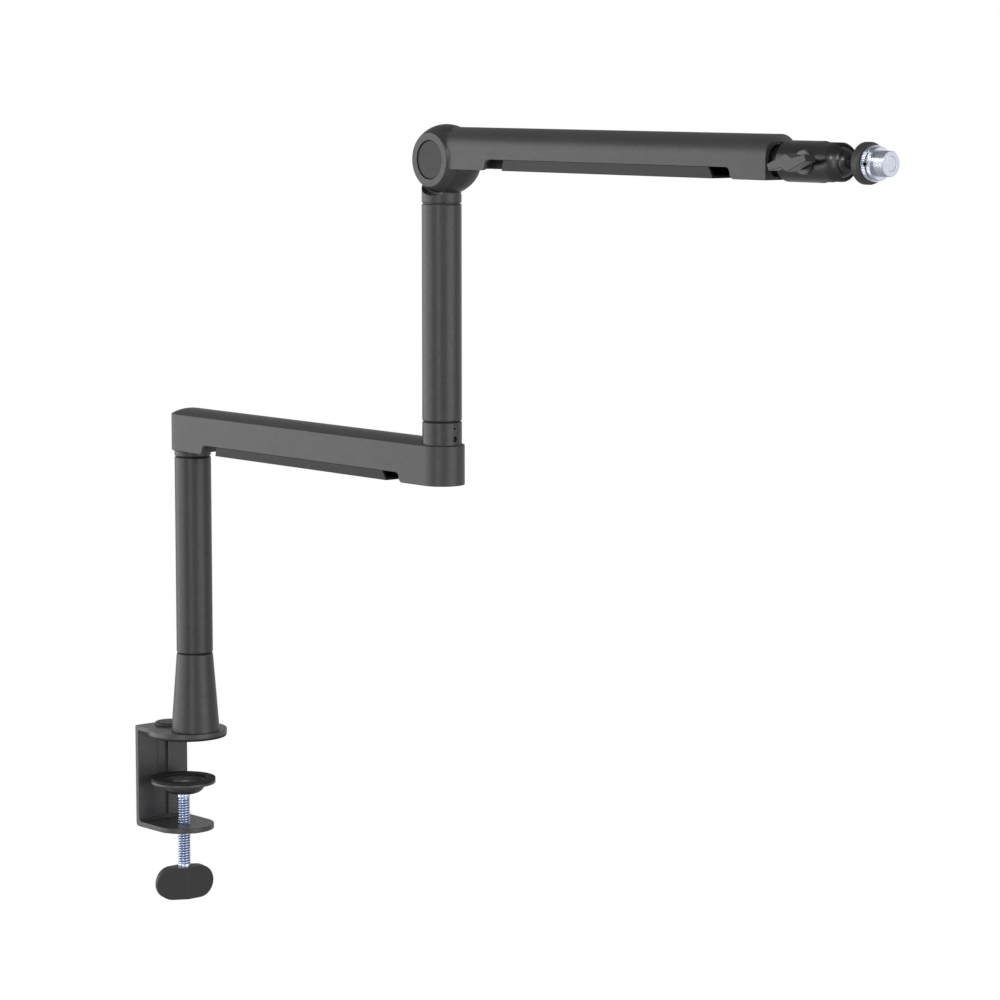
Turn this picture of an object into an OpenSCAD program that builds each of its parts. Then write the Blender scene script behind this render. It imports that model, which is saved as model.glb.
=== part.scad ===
// Low-profile desk-clamp boom arm for a microphone: clamp, two risers, two channel arms and a ball head.
// The origin is the desk plane under the top jaw, on the axis of the lower riser. The arms lie along +X.

/* [Desk clamp] */
// Width of the bent clamp strip
clamp_w = 47; // [40:1:52]
// Thickness of the clamp's top plate and tongue
jaw_t = 4; // [3.4:0.1:5]
// Thickness of the clamp's back plate
back_t = 3.8; // [3:0.1:4]
// Distance from the riser axis back to the inner face of the back plate
throat = 44.2; // [40:0.1:60]
// Clear height between the jaw pad and the tongue
jaw_gap = 70.6; // [60:1:90]
// Radius of the round top jaw
jaw_r = 30.6; // [28:0.5:34]
// How far the round top jaw sits behind the riser axis
jaw_back = 10.8; // [8:0.2:13]
// Thickness of the rubber pad under the top jaw
pad_t = 1.5; // [1:0.1:3]
// Width of the shallow channel pressed in the back plate
rib_w = 10; // [6:1:14]
// Depth of that channel
rib_depth = 2.6; // [0.5:0.1:2.8]
// Diameter of the round plug on the top plate
plug_d = 25; // [20:0.5:25.4]
// Height of the plug above the plate
plug_h = 2.2; // [1.5:0.1:4]
// How far the plug sits behind the riser axis
plug_back = 33.5; // [32.4:0.1:34]

/* [Pressure cup and screw] */
// Diameter of the clamp screw
screw_d = 10; // [8:0.5:12]
// How far the screw sits behind the riser axis
screw_back = 17; // [14:0.2:18]
// Height of the cup's rubber face below the desk plane
cup_drop = 34.4; // [28:0.5:40]
// Outer diameter of the cup's flange
cup_d = 50; // [46:1:53]
// Thickness of the cup's steel
cup_wall = 2.2; // [1.5:0.1:2.6]
// Depth of the cup below its rubber face
cup_depth = 12; // [11.4:0.2:12.8]
// Thickness of the rubber ring on the cup
cup_pad_t = 2; // [0.8:0.1:2.4]
// Length of the knob's paddle
knob_len = 47.6; // [44:0.2:60]
// Height of the knob's paddle
knob_h = 25; // [22:0.5:32]
// Thickness of the paddle at its crease
knob_mid = 17; // [14:0.5:20]
// Thickness of the paddle at its tips
knob_tip = 4; // [3:0.5:6]
// Height of the knob's top below the desk plane
knob_drop = 105; // [104:0.5:130]

/* [Risers] */
// Outer diameter of the riser tubes and collars
riser_d = 28; // [26:0.5:30]
// Wall of the riser tubes
riser_wall = 2.5; // [2:0.1:3]
// Length of each riser tube
riser_len = 151.8; // [90:0.2:240]
// Gap between two turning collars, filled by a thrust flange
joint_gap = 0.6; // [0.4:0.1:1]
// Chamfer on the ends of the tubes and collars
edge = 0.6; // [0.3:0.1:1]
// Height of the cone that holds the lower riser
cone_h = 60.9; // [58:0.1:90]
// Diameter of the cone where it stands on the plate
cone_d = 37.3; // [32:0.5:38]
// Diameter of the turning spindles
spindle_d = 16; // [13:0.5:16]
// Length of each spindle's turning part
spindle_len = 36; // [32:1:40]
// Wall of the nylon bushes
bush_wall = 1.95; // [1.4:0.05:2]
// Height of the collar under the lower arm
shoulder_h = 4.6; // [3:0.2:12]
// Height of the collar on top of the lower arm
mid_h = 16.7; // [15:0.1:24]
// Thread diameter of the two collar screws
collar_screw_d = 4; // [3:0.5:4]

/* [Lower arm] */
// Distance between the two riser axes
arm_span = 300; // [260:5:360]
// Width of the lower arm
arm_w = 32; // [32:0.5:36]
// Height of the lower arm's flat sides at its bosses
arm_side_h = 28; // [26:0.5:32]
// Rise of the lower arm's crowned top above its sides
arm_crown = 4.3; // [3:0.1:6]
// Wall of the arm's channel
arm_wall = 2.6; // [2:0.1:3]
// Length of the left boss before the cable inlet
boss_a = 30.8; // [28:0.2:36]
// Length of the right boss after the cable outlet
boss_b = 25.8; // [24:0.2:32]

/* [Cable covers] */
// Height of the lower arm's snap-in cover
cover_h = 6.9; // [6:0.1:7.5]
// Height of the upper arm's snap-in cover
top_cover_h = 7.5; // [6.5:0.1:8]
// Length of the covers along their top edge
cover_len = 200; // [140:5:210]
// Wall of the covers
cover_wall = 1.8; // [1.4:0.1:2]
// How far each end of a cover slants outwards at the bottom
cover_slant = 3; // [1:0.5:5]
// How far each side of a cover leans in at the bottom
cover_lean = 1.2; // [0.5:0.1:2]
// Length of each snap tab
tab_len = 10; // [6:1:16]
// Number of snap tabs along each side
tab_count = 4; // [2:1:6]
// Height of the snap tabs above the cover
tab_h = 6; // [5:0.2:6]

/* [Elbow] */
// Radius of the elbow's ball
elbow_r = 24.5; // [23.5:0.5:26]
// Distance from the riser axis forward to the tilt pin
elbow_out = 5.7; // [4:0.1:7]
// Height of the tilt pin above the top of the upper riser
elbow_up = 30.9; // [30:0.1:34]
// Distance between the elbow's two flat faces
elbow_w = 32; // [31:0.5:34]
// Thickness of the knuckle between the cheeks
knuckle_w = 17; // [15:0.5:18]
// Running gap on each side of the knuckle
knuckle_gap = 0.2; // [0.1:0.05:0.3]
// Diameter of the round caps in the elbow's faces
cap_d = 26.6; // [25:0.2:28]
// Diameter of the tilt pin
pin_d = 8; // [6:0.5:8]

/* [Upper arm] */
// Distance from the upper riser axis to the arm's open end
reach = 333.5; // [300:0.5:400]
// Width of the upper arm
top_w = 28.5; // [26:0.5:30]
// Height of the upper arm
top_h = 28.75; // [28:0.05:30]
// Distance from the tilt pin down to the arm's underside
top_drop = 6.1; // [5:0.1:7]
// Wall of the upper arm
top_wall = 2.4; // [2:0.1:3]
// Distance from the upper riser axis to the cable inlet
inlet = 59.2; // [56:0.2:80]
// Length of the solid end before the ball head
nose = 28.3; // [26:0.1:40]

/* [Ball head] */
// Height of the head's axis above the arm's underside
head_up = 12; // [12:0.1:14]
// Diameter of the head's clamp jaws
head_d = 26; // [24:0.5:26]
// Diameter of the neck that turns in the arm's end
neck_d = 20; // [16:0.5:20]
// Distance from the arm's end to the jaws
neck_len = 7.5; // [6:0.5:12]
// Distance from the arm's end to the lever's axis
lever_out = 32.5; // [30:0.5:36]
// Distance from the arm's end to the ball's centre
ball_out = 52.5; // [51:0.5:60]
// Diameter of the ball
ball_d = 19; // [16:0.5:19]
// Width of the mouth's slit between the jaws
slit = 9; // [6:0.5:10]
// Length of the clamp lever
lever_len = 34; // [30:1:44]
// Depth of the lever's wings
lever_t = 9.2; // [7:0.2:11]
// Diameter of the lever's bolt
lever_bolt_d = 5; // [4:0.5:5]

/* [Microphone thread] */
// Distance from the ball's centre to the black flange
stem_len = 19; // [18:0.5:28]
// Diameter of the black flange
flange_d = 26.2; // [22:0.2:30]
// Thickness of the black flange
flange_t = 6.4; // [4:0.2:9]
// Diameter of the adapter's knurled ring
ring_d = 22.3; // [20:0.1:26]
// Thickness of the knurled ring
ring_t = 6.1; // [5:0.1:9]
// Outer diameter of the adapter's microphone thread
thread_d = 15.875; // [15.875, 9.525]
// Length of the microphone thread
thread_len = 8.4; // [7:0.2:12]
// Diameter of the stud inside the adapter
stud_d = 9.525; // [6:0.005:9.525]

/* [Hidden] */
$fn = 96;
fit = 0.05;
gap = 0.3;

// heights of the stack, from the desk plane upwards
plate_z = pad_t + jaw_t;
cone_top = plate_z + cone_h;
riser_a = cone_top + joint_gap;
shoulder_z = riser_a + riser_len + joint_gap;
arm_z = shoulder_z + shoulder_h;
arm_top = arm_z + arm_side_h;
mid_z = arm_top;
mid_top = mid_z + mid_h;
riser_b = mid_top + joint_gap;
knuckle_z = riser_b + riser_len + joint_gap;
pin_x = arm_span + elbow_out;
pin_z = riser_b + riser_len + elbow_up;
top_z = pin_z - top_drop;
head_z = top_z + head_up;
end_x = arm_span + reach;

// fits that several pieces share
riser_r = riser_d / 2;
tube_r = riser_r - riser_wall;
bush_r = spindle_d / 2 + fit + bush_wall;
socket_r = bush_r + fit;
tongue_z = -jaw_gap;
clamp_x = -throat;
crown_r = (arm_w * arm_w / 4 + arm_crown * arm_crown) / (2 * arm_crown);
cheek_y = knuckle_w / 2 + knuckle_gap;
scoop_r = elbow_r + gap;
retain_z = mid_z + 5;
tension_z = mid_top - 4.4;

steel_black = [0.22, 0.22, 0.23];
coat = [0.27, 0.27, 0.28];
coat_light = [0.38, 0.38, 0.39];
plastic = [0.2, 0.2, 0.21];
rubber = [0.1, 0.1, 0.1];
zinc = [0.78, 0.81, 0.88];
nylon = [0.12, 0.12, 0.13];

// a turned bar or ring along +Z with a chamfer on both ends
module turned(r, h, c = edge, bore = 0) {
  rotate_extrude()
    difference() {
      polygon([[0, 0], [r - c, 0], [r, c], [r, h - c], [r - c, h], [0, h]]);
      if (bore > 0) translate([-1, -1]) square([bore + 1, h + 2]);
    }
}

// a bar along +Y, from y0 to y1, centred on x and z
module bar_y(x, z, r, y0, y1) {
  translate([x, y0, z]) rotate([-90, 0, 0]) cylinder(r = r, h = y1 - y0);
}

// a bar along +X, from x0 to x1, on the head's axis
module bar_x(r, x0, x1) {
  translate([x0, 0, head_z]) rotate([0, 90, 0]) cylinder(r = r, h = x1 - x0);
}

// a side profile in X and Z, given its width across Y
module across_y(w) {
  rotate([90, 0, 0]) linear_extrude(w, center = true) children();
}

// the underside's S-curved opening between two bosses, as a side profile standing on z = 0
module notch_profile(x0, x1, h) {
  r = h / 2;
  difference() {
    union() {
      translate([x0, -1]) square([x1 - x0, r + 1]);
      translate([x0 + h, -1]) square([x1 - x0 - 2 * h, h + 1]);
      translate([x0 + h, r]) circle(r);
      translate([x1 - h, r]) circle(r);
    }
    translate([x0, r]) circle(r);
    translate([x1, r]) circle(r);
  }
}

// clamp: a strip bent to a C, with a round jaw on top and a round-ended tongue below
module clamp_bracket() color(coat_light) {
  back_x = clamp_x - back_t;
  bend = 3;
  difference() {
    union() {
      translate([-jaw_back, 0, pad_t]) cylinder(r = jaw_r, h = jaw_t, $fn = 128);
      translate([back_x + 1, -clamp_w / 2, pad_t]) cube([-jaw_back - back_x - 1, clamp_w, jaw_t]);
      across_y(clamp_w)
        union() {
          translate([back_x, tongue_z - jaw_t + bend]) square([back_t, jaw_gap + jaw_t + plate_z - bend - 1]);
          translate([back_x + 1, plate_z - 1.5]) square([back_t - 1, 1.5]);
          translate([back_x + 1, plate_z - 1]) circle(1);
          translate([back_x + bend, tongue_z - jaw_t + bend]) circle(bend);
          translate([back_x + bend, tongue_z - jaw_t]) square([-screw_back - back_x - bend, jaw_t]);
        }
      translate([-screw_back, 0, tongue_z - jaw_t]) cylinder(r = clamp_w / 2, h = jaw_t, $fn = 128);
    }
    translate([clamp_x - rib_depth, -rib_w / 2, tongue_z + 2]) cube([rib_depth + 1, rib_w, jaw_gap - 4]);
    translate([-screw_back, 0, tongue_z - jaw_t - 1]) cylinder(d = screw_d + 2 * fit, h = jaw_t + 2);
    translate([-plug_back, 0, pad_t - 1]) cylinder(d = plug_d / 2 + 2 * fit, h = jaw_t + 2);
    translate([0, 0, pad_t - 1]) cylinder(d = 8 + 2 * fit, h = jaw_t + 2);
    translate([0, 0, pad_t - fit]) cylinder(r1 = 7.6 + fit, r2 = 4 + fit, h = 3.2);
  }
}

module top_jaw_pad() color(rubber)
  translate([-jaw_back, 0, 0]) cylinder(r = jaw_r - 0.3, h = pad_t, $fn = 128);

// press-in plug that closes the plate's spare hole
module plate_plug() color(plastic)
  translate([-plug_back, 0, 0]) {
    translate([0, 0, plate_z]) rotate_extrude()
      polygon([[0, 0], [plug_d / 2, 0], [plug_d / 2, plug_h - 1.2], [plug_d / 2 - 1.2, plug_h], [0, plug_h]]);
    translate([0, 0, pad_t]) cylinder(d = plug_d / 2, h = jaw_t + 0.1);
  }

// dished steel cup: a flat flange round a spherical bowl with a flat floor
cup_z = -cup_drop - cup_pad_t;
cup_floor = -cup_drop - cup_depth;
bowl_up = 10.4;
bowl_r = norm([cup_d / 2 - 8.5, bowl_up]);
tip_r = 0.4 * screw_d;
knob_bore = 20;
module pressure_cup() color(steel_black)
  translate([-screw_back, 0, 0]) rotate_extrude($fn = 128)
    difference() {
      union() {
        translate([0, cup_z - cup_wall]) square([cup_d / 2, cup_wall]);
        intersection() {
          translate([0, cup_z - cup_wall + bowl_up]) circle(bowl_r, $fn = 128);
          translate([0, cup_floor]) square([cup_d, cup_depth - cup_pad_t]);
        }
      }
      intersection() {
        translate([0, cup_z - cup_wall + bowl_up]) circle(bowl_r - cup_wall, $fn = 128);
        translate([0, cup_floor + cup_wall]) square([cup_d, cup_depth]);
      }
      translate([0, cup_floor - 1]) square([tip_r + fit, cup_depth]);
      translate([-cup_d, cup_floor - 1]) square([cup_d, cup_depth + 2]);
    }

module pressure_pad() color(rubber)
  translate([-screw_back, 0, cup_z]) difference() {
    cylinder(d = cup_d, h = cup_pad_t, $fn = 128);
    translate([0, 0, -1]) cylinder(d = cup_d - 15.2, h = cup_pad_t + 2, $fn = 128);
  }

// the screw: plain shank through the tongue, stepped down to a tip that passes through the cup's floor
module clamp_screw() color(zinc)
  translate([-screw_back, 0, 0]) {
    translate([0, 0, -knob_drop - knob_bore]) cylinder(d = screw_d, h = knob_drop + knob_bore + cup_floor - 0.1);
    translate([0, 0, cup_floor - 1]) cylinder(r = tip_r, h = cup_wall + 3.4);
  }

module screw_retainer() color(zinc)
  translate([-screw_back, 0, cup_floor + cup_wall + 0.1])
    turned(min(tip_r + 2.4, 6.6), 1.6, 0.4, tip_r + fit);

// paddle knob: lens-shaped in plan, round-ended from the front, with a crease down the middle
knob_turn = 77;
module clamp_knob() color(plastic)
  translate([-screw_back, 0, -knob_drop - knob_h]) rotate([0, 0, knob_turn]) difference() {
    intersection() {
      linear_extrude(knob_h)
        polygon([[-knob_len / 2, -knob_tip / 2], [0, -knob_mid / 2], [knob_len / 2, -knob_tip / 2],
          [knob_len / 2, knob_tip / 2], [0, knob_mid / 2], [-knob_len / 2, knob_tip / 2]]);
      across_y(knob_mid + 2) union() {
        translate([-knob_len / 2 + knob_h / 2, 0]) square([knob_len - knob_h, knob_h]);
        translate([-knob_len / 2 + knob_h / 2, knob_h / 2]) circle(knob_h / 2);
        translate([knob_len / 2 - knob_h / 2, knob_h / 2]) circle(knob_h / 2);
      }
    }
    translate([0, 0, knob_h - knob_bore - fit]) cylinder(d = screw_d + 2 * fit, h = 30);
  }

// cone: stands on the plate, bored for the lower bush and spindle, tapped below for its bolt
module cone_base() color(coat)
  difference() {
    rotate_extrude()
      polygon([[0, plate_z], [cone_d / 2, plate_z], [riser_r, cone_top - edge], [riser_r - edge, cone_top],
        [0, cone_top]]);
    translate([0, 0, riser_a - spindle_len - 4]) cylinder(r = socket_r, h = spindle_len + 10);
    translate([0, 0, plate_z - 1]) cylinder(d = 8 + 2 * fit, h = 15);
  }

module cone_bolt() color(zinc) {
  translate([0, 0, pad_t]) cylinder(r1 = 7.6, r2 = 4, h = 3.2);
  translate([0, 0, pad_t]) cylinder(d = 8, h = jaw_t + 12);
}

// flanged nylon bush: the flange fills the gap between two turning collars
module bush(z, len, hole_z = 0) color(nylon)
  difference() {
    union() {
      translate([0, 0, z - len]) cylinder(r = bush_r, h = len + 0.1);
      translate([0, 0, z]) cylinder(r = riser_r - 0.9, h = joint_gap - fit);
    }
    translate([0, 0, z - len - 1]) cylinder(d = spindle_d + 2 * fit, h = len + joint_gap + 2);
    if (hole_z > 0) translate([0, 0, hole_z]) rotate([0, 90, 0]) cylinder(d = collar_screw_d + 0.3, h = 30);
  }

module base_bush() bush(cone_top, spindle_len);

// a straight tube with chamfered ends
module riser_tube(z) color(coat)
  translate([0, 0, z]) turned(riser_r, riser_len, edge, tube_r);

module lower_riser() riser_tube(riser_a);

// spindle: a plug fixed in the tube above, and a turning shaft below
module spindle(z, plug_len) {
  translate([0, 0, z + fit]) cylinder(r = tube_r - fit, h = plug_len - fit);
  translate([0, 0, z - spindle_len + 1]) cylinder(d = spindle_d, h = spindle_len);
  translate([0, 0, z - spindle_len]) cylinder(d1 = spindle_d - 2, d2 = spindle_d, h = 1);
}

module lower_riser_spindle() color(zinc) spindle(riser_a, 24);

// sleeve in the top of the lower riser, which the shoulder bush sits in
module lower_riser_socket() color(zinc)
  translate([0, 0, riser_a + riser_len - spindle_len - 4]) difference() {
    cylinder(r = tube_r - fit, h = spindle_len + 4 - fit);
    translate([0, 0, 3]) cylinder(r = socket_r, h = spindle_len + 4);
    translate([0, 0, -1]) cylinder(d = spindle_d - 4, h = 6);
  }

module shoulder_bush() bush(riser_a + riser_len, spindle_len);

// collar under the lower arm: collar, spigot up into the boss, and spindle down into the riser
module shoulder_collar() color(coat)
  difference() {
    union() {
      translate([0, 0, shoulder_z]) turned(riser_r, shoulder_h, edge);
      translate([0, 0, arm_z - 1]) cylinder(d = spindle_d, h = 16);
      translate([0, 0, shoulder_z - spindle_len + 1]) cylinder(d = spindle_d, h = spindle_len);
      translate([0, 0, shoulder_z - spindle_len]) cylinder(d1 = spindle_d - 2, d2 = spindle_d, h = 1);
    }
    translate([0, 0, shoulder_z - spindle_len - 1]) cylinder(d = 6 + 2 * fit, h = 100);
    translate([0, 0, shoulder_z - spindle_len - 1]) cylinder(d = 10 + 2 * fit, h = 8);
  }

// socket-head bolt that pulls the collar up into the boss
module shoulder_bolt() color(zinc)
  translate([0, 0, shoulder_z - spindle_len]) difference() {
    union() {
      translate([0, 0, 1]) cylinder(d = 10, h = 6);
      translate([0, 0, 6.5]) cylinder(d = 6, h = spindle_len + shoulder_h + 14);
    }
    translate([0, 0, 0]) cylinder(d = 5.8, h = 4, $fn = 6);
  }

// half of the crowned arm's cross-section, for the round ends
module arm_half_section() {
  intersection() {
    translate([0, arm_z]) square([arm_w / 2, arm_side_h + arm_crown]);
    translate([0, arm_top + arm_crown - crown_r]) circle(crown_r, $fn = 256);
  }
}

// lower arm: crowned bar with domed round ends, hollow from below, S-curved cable openings at the bosses
module lower_arm() color(coat_light) {
  notch_b = arm_span - boss_b;
  chan_a = boss_a - 6;
  chan_b = notch_b + 6;
  inner_w = arm_w - 2 * arm_wall;
  difference() {
    union() {
      rotate([0, 0, 90]) rotate_extrude(angle = 180, $fn = 128) arm_half_section();
      rotate([90, 0, 90]) linear_extrude(arm_span) union() {
        arm_half_section();
        mirror([1, 0]) arm_half_section();
      }
      translate([arm_span, 0, 0]) rotate([0, 0, -90]) rotate_extrude(angle = 180, $fn = 128) arm_half_section();
    }
    translate([0, 0, arm_z]) across_y(arm_w + 2) notch_profile(boss_a, notch_b, cover_h);
    translate([chan_a, -inner_w / 2, arm_z - 1])
      cube([chan_b - chan_a, inner_w, arm_side_h + 1 - arm_wall]);
    hook_groove(chan_a, chan_b, arm_z, inner_w, cover_h);
    translate([0, 0, arm_z - 1]) cylinder(d = spindle_d + 2 * fit, h = 16 + 0.3);
    translate([0, 0, arm_z]) cylinder(d = 6 + 2 * fit, h = 22);
    translate([arm_span, 0, arm_top]) cylinder(r = riser_r + 0.4, h = arm_crown + 1);
    translate([arm_span, 0, arm_top - 16]) cylinder(r = socket_r + 1.2 + fit, h = 20);
    translate([arm_span, 0, arm_z + 4]) cylinder(r = spindle_d / 2 + 0.6, h = 20);
  }
}

tab_t = 1.3;
hook = 0.6;

// the grooves inside an arm's walls that the tabs hook into
module hook_groove(x0, x1, z, w, h) {
  translate([x0, -w / 2 - hook - 0.3, z + h + tab_h - 3.2]) cube([x1 - x0, w + 2 * hook + 0.6, 3.4]);
}

// snap-in cover: shallow trough with slanted ends, and tabs that hook into grooves in the arm's walls
module cable_cover(x0, z, w, wall, h) {
  inner = w / 2 - wall - fit;
  color(plastic) {
    intersection() {
      rotate([90, 0, 90]) translate([0, z, x0 - cover_slant]) linear_extrude(cover_len + 2 * cover_slant)
        difference() {
          polygon([[-w / 2, h - fit], [-w / 2 + cover_lean, 0], [w / 2 - cover_lean, 0], [w / 2, h - fit]]);
          polygon([[-w / 2 + cover_wall, h + 1], [-w / 2 + cover_lean + cover_wall, cover_wall],
            [w / 2 - cover_lean - cover_wall, cover_wall], [w / 2 - cover_wall, h + 1]]);
        }
      across_y(w + 2)
        polygon([[x0 - cover_slant, z], [x0 + cover_len + cover_slant, z], [x0 + cover_len, z + h], [x0, z + h]]);
    }
    for (i = [0 : tab_count - 1]) {
      x = x0 + 12 + i * (cover_len - 24 - tab_len) / (tab_count - 1);
      for (side = [-1, 1])
        translate([x, 0, z]) mirror([0, side < 0 ? 1 : 0, 0]) rotate([90, 0, 90]) linear_extrude(tab_len)
          polygon([[inner - tab_t, cover_wall - 0.1], [inner - 0.1, cover_wall - 0.1], [inner, h],
            [inner, h + tab_h - 3], [inner + hook, h + tab_h - 2.6], [inner + hook, h + tab_h - 2],
            [inner, h + tab_h], [inner - tab_t, h + tab_h]]);
    }
  }
}

lower_cover_x = (boss_a + arm_span - boss_b - cover_len) / 2;
module lower_cable_cover() cable_cover(lower_cover_x, arm_z, arm_w, arm_wall, cover_h);

// collar on top of the lower arm: spigot in the boss, two tapped holes facing along the arm
module mid_collar() color(coat)
  translate([arm_span, 0, 0]) difference() {
    union() {
      translate([0, 0, mid_z]) turned(riser_r, mid_h, edge);
      translate([0, 0, arm_top - 15.5]) cylinder(r = socket_r + 1.2, h = 16.5);
    }
    translate([0, 0, arm_top - 20]) cylinder(r = socket_r, h = mid_h + 30);
    for (z = [retain_z, tension_z])
      translate([0, 0, z]) rotate([0, 90, 0]) cylinder(d = collar_screw_d + 2 * fit, h = riser_d);
  }

module mid_bush() translate([arm_span, 0, 0]) bush(mid_top, mid_h + 14, retain_z);

// two grub screws: the upper one presses on the bush, the lower one's tip holds the spindle down
module collar_screws() color(steel_black)
  translate([arm_span, 0, 0]) {
    difference() {
      translate([bush_r + fit, 0, tension_z]) rotate([0, 90, 0])
        cylinder(d = collar_screw_d, h = riser_r - bush_r - 0.2);
      translate([riser_r - 1.8, 0, tension_z]) rotate([0, 90, 0]) cylinder(d = 2.3, h = 4, $fn = 6);
    }
    translate([bush_r, 0, retain_z]) rotate([0, 90, 0]) cylinder(d = collar_screw_d, h = 1.8);
    translate([spindle_d / 2 - 1, 0, retain_z]) rotate([0, 90, 0])
      cylinder(d = collar_screw_d - 1.2, h = bush_r - spindle_d / 2 + 2);
  }

module upper_riser() translate([arm_span, 0, 0]) riser_tube(riser_b);

module upper_riser_spindle() color(zinc)
  translate([arm_span, 0, 0]) difference() {
    spindle(riser_b, 24);
    translate([0, 0, retain_z]) rotate_extrude()
      translate([spindle_d / 2 - 1.6, -1.9]) square([5, 3.8]);
  }

// the elbow's ball, cut flat on both faces, between two planes across Y
module elbow_slice(r, y0, y1) {
  intersection() {
    translate([pin_x, 0, pin_z]) sphere(r, $fn = 128);
    translate([pin_x - r - 1, y0, pin_z - r - 1]) cube([2 * r + 2, y1 - y0, 2 * r + 2]);
  }
}

// knuckle: collar scooped round the cheeks, middle slice of the ball, and a plug in the riser
pocket_r = 11.5;
pocket_t = 2.6;
module elbow_knuckle() color(coat)
  difference() {
    union() {
      difference() {
        translate([arm_span, 0, knuckle_z]) turned(riser_r, elbow_up - joint_gap - 4, edge);
        for (side = [-1, 1])
          bar_y(pin_x, pin_z, scoop_r, side > 0 ? knuckle_w / 2 : -40, side > 0 ? 40 : -knuckle_w / 2);
      }
      elbow_slice(elbow_r, -knuckle_w / 2, knuckle_w / 2);
      translate([arm_span, 0, knuckle_z - joint_gap]) cylinder(r = riser_r - 0.9, h = joint_gap + 0.1);
      translate([arm_span, 0, knuckle_z - 24]) cylinder(r = tube_r - fit, h = 25);
    }
    bar_y(pin_x, pin_z, pin_d / 2 + 2 + 2 * fit, -20, 20);
    bar_y(pin_x, pin_z, pocket_r + fit, -20, -knuckle_w / 2 + pocket_t);
    bar_y(pin_x, pin_z, pocket_r + fit, knuckle_w / 2 - pocket_t, 20);
  }

module elbow_bush() color(nylon)
  difference() {
    bar_y(pin_x, pin_z, pin_d / 2 + 2 + fit, -knuckle_w / 2 + pocket_t, knuckle_w / 2 - pocket_t);
    bar_y(pin_x, pin_z, pin_d / 2 + fit, -20, 20);
  }

// a ring round the tilt pin on both sides of the knuckle
module pin_rings(r, y0, t) {
  for (side = [-1, 1])
    difference() {
      bar_y(pin_x, pin_z, r, side > 0 ? y0 : -y0 - t, side > 0 ? y0 + t : -y0);
      bar_y(pin_x, pin_z, pin_d / 2 + 2 * fit, -20, 20);
    }
}

module friction_washers() color(rubber) pin_rings(pocket_r - fit, knuckle_w / 2 - 1.4, 1.4 + knuckle_gap / 2);

// cupped spring washers behind the friction washers
module disc_springs() color(zinc)
  for (side = [-1, 1])
    translate([pin_x, side * (knuckle_w / 2 - pocket_t), pin_z]) rotate([-90 * side, 0, 0]) rotate_extrude()
      polygon([[pin_d / 2 + 2 * fit, 0.5], [pocket_r - 0.6, 0], [pocket_r - 0.6, 0.6], [pin_d / 2 + 2 * fit, 1.1]]);

// faces and pockets of the elbow, outwards from the cheek's web
face_y = elbow_w / 2;
cap_inset = 0.7;
cap_t = 1.6;
well_t = 5.2;
well_r = 9;
module elbow_bolt() color(zinc) {
  difference() {
    bar_y(pin_x, pin_z, 7, -face_y + cap_inset + cap_t + 0.3, -face_y + well_t);
    translate([pin_x, -face_y, pin_z]) rotate([-90, 0, 0]) cylinder(d = 5.8, h = 4, $fn = 6);
  }
  bar_y(pin_x, pin_z, pin_d / 2, -face_y + well_t - 0.2, face_y - cap_inset - cap_t - 0.4);
}

module elbow_locknut() color(zinc)
  difference() {
    translate([pin_x, face_y - well_t, pin_z]) rotate([-90, 0, 0])
      cylinder(d = 15, h = well_t - cap_inset - cap_t - 0.3, $fn = 6);
    bar_y(pin_x, pin_z, pin_d / 2 + fit, 0, 40);
  }

// thin caps that close the bolt's wells, each with a clip ring behind
module elbow_caps() color(coat_light)
  for (side = [-1, 1])
    translate([pin_x, side * (face_y - cap_inset), pin_z]) rotate([90 * side, 0, 0]) {
      turned(cap_d / 2, cap_t, 0.3);
      difference() {
        translate([0, 0, cap_t - 0.1]) cylinder(r = well_r - fit, h = 1.5);
        translate([0, 0, cap_t - 1]) cylinder(r = well_r - 1.2, h = 4);
      }
    }

// arch section of the upper arm, standing on z = 0 and centred on its width
module arch(w, h) {
  translate([-w / 2, 0]) square([w, h - w / 2]);
  translate([0, h - w / 2]) circle(w / 2, $fn = 128);
}

// upper arm: arch-shaped channel with two cheeks of the elbow's ball, open below for the cable
upper_notch = arm_span + inlet;
upper_notch_end = end_x - nose;
upper_cover_x = (upper_notch + upper_notch_end - cover_len) / 2;
chan_end = upper_notch_end + 6;
rim = 1.4;
rim_depth = 4;
module upper_arm() color(coat_light) {
  inner_w = top_w - 2 * top_wall;
  chan_a = pin_x + scoop_r + 8;
  chan_b = chan_end;
  difference() {
    union() {
      translate([pin_x, 0, top_z]) rotate([90, 0, 90]) linear_extrude(end_x - pin_x) arch(top_w, top_h);
      elbow_slice(elbow_r, -face_y, face_y);
    }
    bar_y(pin_x, pin_z, scoop_r, -cheek_y, cheek_y);
    translate([0, 0, top_z]) across_y(top_w + 2) notch_profile(upper_notch, upper_notch_end, top_cover_h);
    translate([chan_a, 0, top_z - 1]) rotate([90, 0, 90]) linear_extrude(chan_b - chan_a)
      arch(inner_w, top_h - top_wall + 1);
    hook_groove(chan_a, chan_b, top_z, inner_w, top_cover_h);
    bar_y(pin_x, pin_z, pin_d / 2 + fit, -40, 40);
    for (side = [-1, 1]) {
      bar_y(pin_x, pin_z, cap_d / 2 + 0.3, side > 0 ? face_y - cap_inset - cap_t : -40,
        side > 0 ? 40 : -face_y + cap_inset + cap_t);
      bar_y(pin_x, pin_z, well_r, side > 0 ? face_y - well_t : -40, side > 0 ? 40 : -face_y + well_t);
    }
    bar_x(neck_d / 2 + rim, end_x - rim_depth, end_x + 1);
    bar_x(neck_d / 2 + fit, end_x - 14, end_x);
    bar_x(3 + fit, end_x - nose, end_x);
  }
}

module upper_cable_cover() cable_cover(upper_cover_x, top_z, top_w, top_wall, top_cover_h);

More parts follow.
